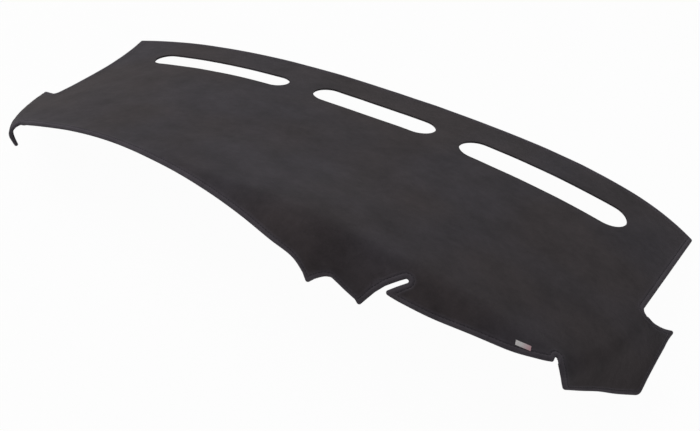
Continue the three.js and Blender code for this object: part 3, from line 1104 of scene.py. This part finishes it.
@dataclass(frozen=True)
class SewingThread:
    """Thick spun polyester thread: nearly black, with a faint gloss."""

    colour: str = "222024"
    roughness: float = 0.7
    specular: float = 0.3

    def build(self) -> bpy.types.Material:
        """Make the material.

        Returns:
            The thread's material.
        """
        material, tree = empty_material("spun_polyester_thread")
        surface = add_node(tree, "ShaderNodeBsdfPrincipled", inputs={
            "Base Color": linear_colour(self.colour), "Roughness": self.roughness,
            "Specular IOR Level": self.specular})
        add_node(tree, "ShaderNodeOutputMaterial", inputs={"Surface": surface.outputs["BSDF"]})
        return material


@dataclass
class HemStitching:
    """Row of separate stitches that holds the hem down. Millimetres."""

    sheet: CarpetMat
    pitch: float = 6.6
    length: float = 4.8
    thread_radius: float = 0.55
    rise: float = 0.5
    rings: int = 6
    sides: int = 6
    line_tolerance: float = 0.25
    look_ahead: float = 0.5
    least_move: float = 0.1
    end_share: float = 0.12
    thread: SewingThread = field(default_factory=SewingThread)

    def row(self) -> tuple[np.ndarray, np.ndarray]:
        """Space the stitches along the hem.

        Returns:
            Each stitch's middle in the flat, and its direction.
        """
        outline = self.sheet.pattern.outline(self.sheet.edge_step)
        line = inset(outline, self.sheet.stitch_inset)
        line = line[distance_to_loop(line, outline) > self.sheet.stitch_inset - self.line_tolerance]
        line = np.concatenate([line, line[:1]])
        reach = np.concatenate([[0], np.cumsum(np.linalg.norm(np.diff(line, axis=0), axis=1))])
        at = np.arange(0, reach[-1], self.pitch)
        middles, ahead = (np.stack([np.interp(a, reach, line[:, k]) for k in (0, 1)], 1)
                          for a in (at, np.minimum(at + self.look_ahead, reach[-1])))
        along = ahead - middles
        moved = np.linalg.norm(along, axis=1) > self.least_move
        return middles[moved], along[moved] / np.linalg.norm(along[moved], axis=1)[:, None]

    def faces(self, count: int) -> list[tuple[int, ...]]:
        """Join the stitches' points into closed tubes.

        Args:
            count: How many stitches there are. Each ring's points come stitch by stitch.

        Returns:
            Vertex numbers of each face.
        """
        loops = np.arange(self.rings * self.sides * count).reshape(self.rings, self.sides, count)
        ahead = np.roll(loops, -1, 1)
        faces = []
        for i in range(count):
            for ring in range(self.rings - 1):
                for side in range(self.sides):
                    faces.append((loops[ring, side, i], ahead[ring, side, i],
                                  ahead[ring + 1, side, i], loops[ring + 1, side, i]))
            faces.append(tuple(loops[0, ::-1, i]))
            faces.append(tuple(loops[-1, :, i]))
        return [tuple(int(v) for v in face) for face in faces]

    def build(self) -> bpy.types.Object:
        """Make the stitches, each a short thread whose ends dip into the carpet.

        Returns:
            The stitching.
        """
        middles, along = self.row()
        across = np.column_stack([-along[:, 1], along[:, 0]])
        bed = float(self.sheet.top_relief(np.array([self.sheet.stitch_inset]))[0])
        flat, height = [], []
        for ring in range(self.rings):
            t = ring / (self.rings - 1) * 2 - 1
            thick = self.thread_radius * math.sqrt(max(1 - t ** 4, self.end_share))
            for side in range(self.sides):
                angle = 2 * math.pi * side / self.sides
                flat.append(middles + along * self.length / 2 * t + across * thick * math.cos(angle))
                lift = bed + self.rise * (1 - 2 * t * t) + thick * math.sin(angle)
                height.append(np.full(len(middles), lift))
        flat, height = np.concatenate(flat), np.concatenate(height)
        points = self.sheet.pattern.form.placed(flat, height + self.sheet.undulation(flat))
        faces = self.faces(len(middles))
        stitching = mesh_object("hem_stitching", (points + self.sheet.shift) * MM, faces)
        stitching.data.polygons.foreach_set("use_smooth", [True] * len(faces))
        stitching.data.materials.append(self.thread.build())
        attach(stitching, BODY)
        return stitching


@dataclass(frozen=True)
class SatinTape:
    """Woven polyester satin tape: fine ribs with a soft gloss, off white that turns pinkish at one end."""

    light_colour: str = "e6e2e2"
    tint_colour: str = "d3a9b0"
    tint_range: tuple[float, float] = (0.35, 0.9)
    roughness: float = 0.45
    sheen: float = 0.2
    rib_mm: float = 3.77
    bump: tuple[float, float] = (0.4, 0.15)

    def build(self) -> bpy.types.Material:
        """Make the material.

        Returns:
            The tape's material.
        """
        material, tree = empty_material("woven_satin_tape")
        place = add_node(tree, "ShaderNodeTexCoord").outputs["Generated"]
        across = add_node(tree, "ShaderNodeSeparateXYZ", inputs={"Vector": place})
        tint = add_node(tree, "ShaderNodeMapRange", inputs={
            "Value": across.outputs["X"], "From Min": self.tint_range[0], "From Max": self.tint_range[1]})
        shade = add_node(tree, "ShaderNodeMix", {"data_type": "RGBA"}, {
            "Factor": tint.outputs["Result"], "A": linear_colour(self.light_colour),
            "B": linear_colour(self.tint_colour)})
        spot = add_node(tree, "ShaderNodeTexCoord").outputs["Object"]
        # The weave's ribs are about 0.6 mm apart, and are drawn six times as wide so that they show.
        # A wave texture of scale 1 has 20 radians to the metre.
        scale = 2 * math.pi / (20 * self.rib_mm * MM)
        ribs = add_node(tree, "ShaderNodeTexWave", {"wave_type": "BANDS", "bands_direction": "X"}, {
            "Vector": spot, "Scale": scale, "Distortion": 0.6, "Detail": 1.0})
        woven = add_node(tree, "ShaderNodeBump", inputs={
            "Strength": self.bump[0], "Distance": self.bump[1] * MM, "Height": ribs.outputs["Fac"]})
        surface = add_node(tree, "ShaderNodeBsdfPrincipled", inputs={
            "Base Color": shade.outputs["Result"], "Roughness": self.roughness, "Sheen Weight": self.sheen,
            "Normal": woven.outputs["Normal"]})
        add_node(tree, "ShaderNodeOutputMaterial", inputs={"Surface": surface.outputs["BSDF"]})
        return material


@dataclass
class WovenLabel:
    """The small blank label sewn to the apron. Millimetres and degrees."""

    form: MouldedForm
    length: float = 28
    width: float = 9
    thickness: float = 0.7
    gap: float = 0.35
    centre: tuple[float, float] = (557, -668)
    turn: float = 15
    columns: int = 36
    rows: int = 12
    edge_share: float = 0.55
    sharp_edge: float = 50
    tape: SatinTape = field(default_factory=SatinTape)

    def placed(self, local: np.ndarray) -> np.ndarray:
        """Place points of the label.

        Args:
            local: Distance along the label, across it and above its underside.

        Returns:
            The points in space, before the shift into the frame.
        """
        flat = turned(local[:, :2], math.radians(self.turn)) + np.array(self.centre, float)
        return self.form.placed(flat, local[:, 2] + self.gap)

    def shift_to(self, node: str) -> np.ndarray:
        """Work out how far the frame lies from the pattern's own coordinates.

        Args:
            node: The label's node.

        Returns:
            The shift in millimetres.
        """
        corners = np.array([(x * self.length / 2, y * self.width / 2, z * self.thickness)
                            for x in (-1, -0.5, 0, 0.5, 1) for y in (-1, 1) for z in (0, 1)])
        placed = self.placed(corners)
        low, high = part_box(node)
        middle = (np.array(low) + np.array(high)) / 2 / MM
        return middle - (placed.min(0) + placed.max(0)) / 2

    def build(self, shift: np.ndarray) -> bpy.types.Object:
        """Make the label with rounded, slightly crowned tape.

        Args:
            shift: From the pattern's coordinates to the frame, in millimetres.

        Returns:
            The label.
        """
        columns, rows = self.columns, self.rows
        x = np.linspace(-self.length / 2, self.length / 2, columns + 1)
        y = np.linspace(-self.width / 2, self.width / 2, rows + 1)
        flat = np.array([(a, b) for a in x for b in y])
        crown = (1 - (2 * flat[:, 1] / self.width) ** 4) * (1 - (2 * flat[:, 0] / self.length) ** 8)
        height = self.thickness * (self.edge_share + (1 - self.edge_share) * crown)
        top = np.column_stack([flat, height])
        under = np.column_stack([flat, np.zeros(len(flat))])
        count = len(flat)
        faces = []
        for i in range(columns):
            for j in range(rows):
                a = i * (rows + 1) + j
                b = a + rows + 1
                faces += [(a, b, b + 1, a + 1), (count + a, count + a + 1, count + b + 1, count + b)]
        rim = list(range(rows + 1)) + [i * (rows + 1) + rows for i in range(1, columns + 1)]
        rim += [columns * (rows + 1) + j for j in range(rows - 1, -1, -1)]
        rim += [i * (rows + 1) for i in range(columns - 1, 0, -1)]
        for a, b in zip(rim, rim[1:] + rim[:1]):
            faces.append((a, b, count + b, count + a))
        points = self.placed(np.concatenate([top, under])) + shift
        label = mesh_object("blank_woven_label", points * MM, faces)
        label.data.polygons.foreach_set("use_smooth", [True] * len(label.data.polygons))
        label.data.set_sharp_from_angle(angle=math.radians(self.sharp_edge))
        label.data.materials.append(self.tape.build())
        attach(label, BODY)
        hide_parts("woven_label")
        return label


@dataclass
class PhotoCamera:
    """Camera at the photograph's viewing angle. Angles in degrees, lengths in millimetres."""

    azimuth: float = 28.4326
    elevation: float = 44.6087
    roll: float = -0.0406
    distance: float = 3149.1
    aim_right: float = -129.7
    aim_up: float = -269.8
    focal_pixels: float = 1400
    image_width: int = 700
    sensor_width: float = 36
    far_clip: float = 100

    def build(self, shift: np.ndarray) -> bpy.types.Object:
        """Make the camera.

        Args:
            shift: From the pattern's coordinates to the frame, in millimetres.

        Returns:
            The camera.
        """
        a, e, r = (math.radians(x) for x in (self.azimuth, self.elevation, self.roll))
        view = Vector((-math.sin(a) * math.cos(e), math.cos(a) * math.cos(e), -math.sin(e)))
        level = Vector((math.cos(a), math.sin(a), 0))
        up = level.cross(view)
        right = level * math.cos(r) + up * math.sin(r)
        upright = up * math.cos(r) - level * math.sin(r)
        target = right * self.aim_right + upright * self.aim_up
        place = (target - view * self.distance + Vector(shift)) * MM
        data = bpy.data.cameras.new("photo_camera")
        data.sensor_width = self.sensor_width
        data.lens = self.focal_pixels / self.image_width * data.sensor_width
        data.clip_end = self.far_clip
        camera = bpy.data.objects.new("photo_camera", data)
        axes = Matrix((right, upright, -view)).transposed().to_4x4()
        camera.matrix_world = Matrix.Translation(place) @ axes
        bpy.context.scene.collection.objects.link(camera)
        bpy.context.scene.camera = camera
        return camera


@dataclass
class Studio:
    """Plain pale floor and soft light. Metres and watts."""

    floor_half: float = 9
    floor_gap: float = 0.0005
    aim: tuple[float, float, float] = (0, 0, 0.15)
    floor_colour: str = "efefef"
    background_share: float = 0.97
    ambient: float = 0.255
    key_watts: float = 92
    key_size: float = 3
    key_place: tuple[float, float, float] = (-3.4, 0.2, 4.2)
    fill_watts: float = 6
    fill_size: float = 3
    fill_place: tuple[float, float, float] = (2.8, -2.2, 2.4)

    def build(self) -> None:
        """Make the floor, the lamps and the world."""
        scene = bpy.context.scene
        scene.view_settings.view_transform = "Standard"
        corners = np.array([(-1, -1, 0), (1, -1, 0), (1, 1, 0), (-1, 1, 0)]) * self.floor_half
        floor = mesh_object("floor", corners - [0, 0, self.floor_gap], [(0, 1, 2, 3)])
        floor.data.materials.append(self.floor_material())
        self.lamp("key_light", self.key_watts, self.key_size, self.key_place)
        self.lamp("fill_light", self.fill_watts, self.fill_size, self.fill_place)
        self.world()

    def seen_rays(self, tree: bpy.types.NodeTree) -> bpy.types.NodeSocket:
        """Mark the rays that the white background shows on: camera, glossy and transmission rays.

        Args:
            tree: The node tree that the nodes go into.

        Returns:
            An output that is 1 for those rays.
        """
        path = add_node(tree, "ShaderNodeLightPath")
        first = add_node(tree, "ShaderNodeMath", {"operation": "MAXIMUM"}, {
            0: path.outputs["Is Camera Ray"], 1: path.outputs["Is Glossy Ray"]})
        both = add_node(tree, "ShaderNodeMath", {"operation": "MAXIMUM"}, {
            0: first.outputs[0], 1: path.outputs["Is Transmission Ray"]})
        return both.outputs[0]

    def floor_material(self) -> bpy.types.Material:
        """Make the matt white floor, which keeps a faint shadow.

        Returns:
            The floor's material.
        """
        material, tree = empty_material("matt_white_paper")
        paper = add_node(tree, "ShaderNodeBsdfDiffuse", inputs={"Color": linear_colour(self.floor_colour)})
        glow = add_node(tree, "ShaderNodeEmission", inputs={"Color": (1, 1, 1, 1), "Strength": 1.0})
        share = add_node(tree, "ShaderNodeMath", {"operation": "MULTIPLY"}, {
            0: self.seen_rays(tree), 1: self.background_share})
        mixed = add_node(tree, "ShaderNodeMixShader", inputs={
            0: share.outputs[0], 1: paper.outputs["BSDF"], 2: glow.outputs["Emission"]})
        add_node(tree, "ShaderNodeOutputMaterial", inputs={"Surface": mixed.outputs["Shader"]})
        return material

    def lamp(self, name: str, watts: float, size: float, place: tuple[float, float, float]) -> None:
        """Hang a large soft lamp that points at the mat.

        Args:
            name: The lamp's name.
            watts: Its power.
            size: The side of its square.
            place: Where it hangs.
        """
        data = bpy.data.lights.new(name, "AREA")
        data.energy = watts
        data.size = size
        lamp = bpy.data.objects.new(name, data)
        lamp.location = place
        lamp.rotation_mode = "QUATERNION"
        lamp.rotation_quaternion = (Vector(self.aim) - Vector(place)).to_track_quat("-Z", "Y")
        bpy.context.scene.collection.objects.link(lamp)

    def world(self) -> None:
        """Light the scene evenly from all round, and show white behind the floor."""
        world = bpy.data.worlds.new("studio_world")
        world.use_nodes = True
        tree = world.node_tree
        tree.nodes.clear()
        even, white = (add_node(tree, "ShaderNodeBackground", inputs={
            "Color": (1, 1, 1, 1), "Strength": strength}) for strength in (self.ambient, 1.0))
        mixed = add_node(tree, "ShaderNodeMixShader", inputs={
            0: self.seen_rays(tree), 1: even.outputs["Background"], 2: white.outputs["Background"]})
        add_node(tree, "ShaderNodeOutputWorld", inputs={"Surface": mixed.outputs["Shader"]})
        bpy.context.scene.world = world


def main() -> None:
    """Build the mat and its studio, and report each piece."""
    logging.basicConfig(level=logging.INFO, format="%(message)s")
    form = MouldedForm()
    pattern = FlatPattern(form)
    label_maker = WovenLabel(form)
    shift = label_maker.shift_to("woven_label")
    LOG.info("shift into the frame %s", shift.round(2))
    PhotoCamera().build(shift)
    sheet = CarpetMat(pattern, shift)
    mat = sheet.build()
    sheet.declare(mat)
    LOG.info("%s: %d faces", mat.name, len(mat.data.polygons))
    stitching = HemStitching(sheet).build()
    LOG.info("%s: %d faces", stitching.name, len(stitching.data.polygons))
    label = label_maker.build(shift)
    LOG.info("%s: %d faces", label.name, len(label.data.polygons))
    Studio().build()


if __name__ == "__main__":
    main()
